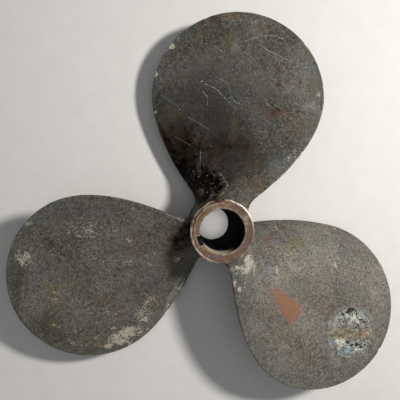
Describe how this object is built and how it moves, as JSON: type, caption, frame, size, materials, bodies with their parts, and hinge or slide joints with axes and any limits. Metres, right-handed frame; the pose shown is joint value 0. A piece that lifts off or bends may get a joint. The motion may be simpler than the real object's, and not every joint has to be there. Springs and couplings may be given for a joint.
{
  "type": "boat propeller",
  "caption": "Left-hand bronze boat propeller cast in one piece, with round blades and a tapered, keyed shaft bore; old dark patina.",
  "frame": {"origin": "on the shaft axis at the casting's centre of mass, 38 mm forward of the aft hub face", "axes": "+Z along the shaft axis towards the forward end, where the tapered bore is wide; one blade points along +Y; +X completes the right-handed frame"},
  "size_m": [0.3262, 0.3068, 0.0715],
  "materials": {
    "weathered_bronze": "dark grey-brown patina over cast bronze, worn to copper brown on the machined hub face"
  },
  "bodies": {
    "root": {"propeller_casting": "weathered_bronze"}
  },
  "joints": []
}
